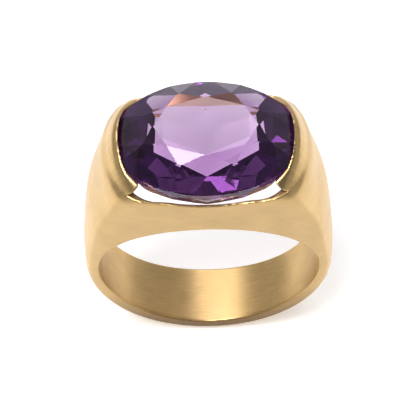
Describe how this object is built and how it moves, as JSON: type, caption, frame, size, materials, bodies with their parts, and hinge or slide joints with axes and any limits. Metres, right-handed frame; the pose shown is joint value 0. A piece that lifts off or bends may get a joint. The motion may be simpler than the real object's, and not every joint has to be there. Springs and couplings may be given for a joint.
{
  "type": "cocktail ring",
  "caption": "Satin gold cocktail ring: a wide domed band whose shoulders rise into two half bezels that grip a large oval faceted amethyst by its ends, with open windows under it.",
  "frame": {"origin": "centre of the finger hole, on its axis, midway between the front and the rear face", "axes": "+Y along the finger hole's axis, from the front face to the rear face; +Z towards the stone; +X along the stone's long axis, to the right seen from the front"},
  "size_m": [0.0198, 0.0104, 0.0267],
  "materials": {
    "satin_gold": "brushed satin, 18 carat yellow gold",
    "polished_gold": "polished, 18 carat yellow gold",
    "amethyst": "faceted and polished purple quartz"
  },
  "bodies": {
    "root": {"shank": "satin_gold", "left_shoulder": "satin_gold", "right_shoulder": "satin_gold", "front_bridge": "satin_gold", "rear_bridge": "satin_gold", "left_half_bezel": "polished_gold", "right_half_bezel": "polished_gold", "left_bearing": "polished_gold", "right_bearing": "polished_gold", "amethyst": "amethyst"}
  },
  "joints": []
}
